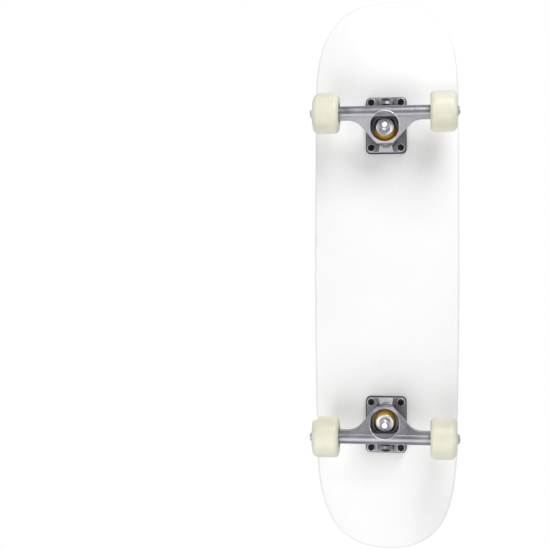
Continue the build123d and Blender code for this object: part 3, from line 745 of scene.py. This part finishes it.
def lock_ring(name, line, face, thread_radius, collar_radius, height, body, materials, slot):
    """The crimped collar of a lock nut and the nylon ring that it holds."""
    collar = rounded(
        [
            (face - height, thread_radius + height),
            (face - height, collar_radius),
            (face + height * COLLAR_SHOULDER, collar_radius),
            (face + height, collar_radius - height * COLLAR_CRIMP),
            (face + height, thread_radius + height * COLLAR_LIP),
            (face + height * COLLAR_MOUTH, thread_radius + height * COLLAR_LIP),
        ],
        height * COLLAR_ROUND,
        RING_ROUND_STEPS,
    )
    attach(turned(f"{name}_collar", line, collar, materials[slot]), body)
    nylon = rounded(
        [
            (face - height * NYLON_ROOT, thread_radius + NYLON_GAP),
            (face - height * NYLON_ROOT, thread_radius + height),
            (face + height * NYLON_TOP, thread_radius + height * NYLON_TAPER),
            (face + height * NYLON_TOP, thread_radius + NYLON_GAP),
        ],
        height * NYLON_ROUND,
        RING_ROUND_STEPS,
    )
    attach(turned(f"{name}_nylon", line, nylon, materials["lock_nylon"]), body)


def washer_lip(end, material):
    """The raised outer lip of the top washer, which cups the bushing from above."""
    node = f"{end}_top_washer"
    line = kingpin_line(end)
    face = line.reach(node)[1]
    edge = max(radius for _, radius in line.measure(node))
    corners = [
        (face - LIP_HEIGHT, edge - LIP_WIDTH),
        (face - LIP_HEIGHT, edge - LIP_HEIGHT / 2),
        (face + LIP_HEIGHT, edge - LIP_HEIGHT / 2),
        (face + LIP_HEIGHT, edge - LIP_WIDTH),
    ]
    lip = turned(f"{end}_top_washer_lip", line, rounded(corners, LIP_HEIGHT), material)
    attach(lip, "board")


def tube_along(name, path, radius, material):
    """A round bead along an open path of points, tapering to nothing at both ends."""
    vertices = []
    last = len(path) - 1
    for index, point in enumerate(path):
        along = (path[min(index + 1, last)] - path[max(index - 1, 0)]).normalized()
        side = along.cross(Vector((0, 0, 1))).normalized()
        up = side.cross(along)
        taper = radius * math.sin(math.pi * (index + 0.5) / (last + 1)) ** BEAD_TAPER
        for step in range(BEAD_SIDES):
            angle = 2 * math.pi * step / BEAD_SIDES
            vertices.append(point + (side * math.cos(angle) + up * math.sin(angle)) * taper)
    first_end = tuple(range(BEAD_SIDES))
    last_end = tuple(last * BEAD_SIDES + step for step in reversed(range(BEAD_SIDES)))
    faces = [first_end, last_end]
    for index in range(last):
        low = index * BEAD_SIDES
        for step in range(BEAD_SIDES):
            other = (step + 1) % BEAD_SIDES
            faces.append((low + step, low + other, low + BEAD_SIDES + other, low + BEAD_SIDES + step))
    return new_piece(name, vertices, faces, material)


def bowl_bead(end, material):
    """A thin bead round the axle's side of the bowl, in a bright finish that paints the highlight along
    the bowl's edge.
    """
    node = frame["nodes"][f"{end}_hanger"].data
    tree = BVHTree.FromPolygons([v.co for v in node.vertices], [tuple(p.vertices) for p in node.polygons])
    axle = middle(f"{end}_axle")
    outwards = 1 if axle.x > 0 else -1
    path = []
    for step in range(BEAD_STEPS + 1):
        angle = BEAD_ARC * (2 * step / BEAD_STEPS - 1)
        x = axle.x + outwards * (SCOOP_RADIUS * math.cos(angle) - SCOOP_CENTRE)
        y = SCOOP_RADIUS * math.sin(angle)
        hit = tree.ray_cast(Vector((x, y, 0)), Vector((0, 0, 1)))[0]
        path.append(hit)
    bead = tube_along(f"{end}_bowl_bead", path, BEAD_RADIUS, material)
    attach(bead, f"{end}_steering_axle")


def boss_rims(end, material):
    """A thin bright ring round each of the four bolt bosses, a painted highlight along the bosses' edges.
    """
    node = f"{end}_baseplate"
    low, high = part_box(node)
    lines = [line for line in bolt_lines() if low.x < line.start.x < high.x]
    for number, line in enumerate(lines, start=1):
        face = max(distance for distance, radius in line.measure(node) if radius < BOSS_RADIUS)
        rim = []
        for step in range(RIM_SIDES):
            angle = 2 * math.pi * step / RIM_SIDES
            distance = face + RIM_RADIUS * math.sin(angle)
            rim.append((distance, BOSS_RADIUS - RIM_RADIUS * (1 - math.cos(angle))))
        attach(turned(f"{end}_boss_rim_{number}", line, rim, material), "board")


def lock_nut_end(name, line, nut, shank, sizes, body, materials, slot, chamfer=TIP_CHAMFER):
    """The lock ring on a nut, and the threaded end of the shank that stands out of it."""
    radius, collar, pitch = sizes
    face = line.reach(nut)[1]
    tip = line.reach(shank)[1]
    height = (tip - face) * COLLAR_SHARE
    lock_ring(f"{name}_lock", line, face, radius, collar, height, body, materials, slot)
    piece = thread(f"{name}_thread", line, face, tip - chamfer, radius, pitch, materials[slot])
    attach(piece, body)


def make_truck_details(end, materials):
    """The soft bushings, raised edges (the washer lip, and the bead and rims that paint highlights on the
    casting), lock rings and threads of one truck.
    """
    for name in ("bottom_bushing", "top_bushing"):
        bushing(end, name, materials["bushing_urethane"])
    washer_lip(end, materials["zinc_steel"])
    # painted highlight: a bright bead along the bowl's edge
    bowl_bead(end, materials["painted_highlight"])
    # painted highlight: bright rims round the bolt bosses
    boss_rims(end, materials["painted_highlight"])
    lock_nut_end(
        f"{end}_kingpin",
        kingpin_line(end),
        f"{end}_kingpin_nut",
        f"{end}_kingpin",
        (KINGPIN_RADIUS, KINGPIN_COLLAR, FINE_PITCH),
        "board",
        materials,
        "zinc_steel",
    )
    for side in ("left", "right"):
        lock_nut_end(
            f"{end}_{side}_axle",
            axle_line(end, side),
            f"{end}_axle_nuts",
            f"{end}_axle",
            (AXLE_RADIUS, AXLE_COLLAR, FINE_PITCH),
            f"{end}_steering_axle",
            materials,
            "zinc_steel",
        )


def make_bolt_details(materials):
    """The lock rings and thread ends of the eight mounting bolts."""
    for number, line in enumerate(bolt_lines(), start=1):
        lock_nut_end(
            f"bolt_{number}",
            line,
            "mounting_nuts",
            "mounting_bolts",
            (BOLT_RADIUS, BOLT_COLLAR, BOLT_PITCH),
            "board",
            materials,
            "black_steel",
            chamfer=0.0,
        )


# ---------------------------------------------------------------- the scene

make_camera()
make_light()
make_floor()
MATERIALS = make_materials()
dress_nodes(MATERIALS)
for truck_end in ENDS:
    make_truck_details(truck_end, MATERIALS)
make_bolt_details(MATERIALS)
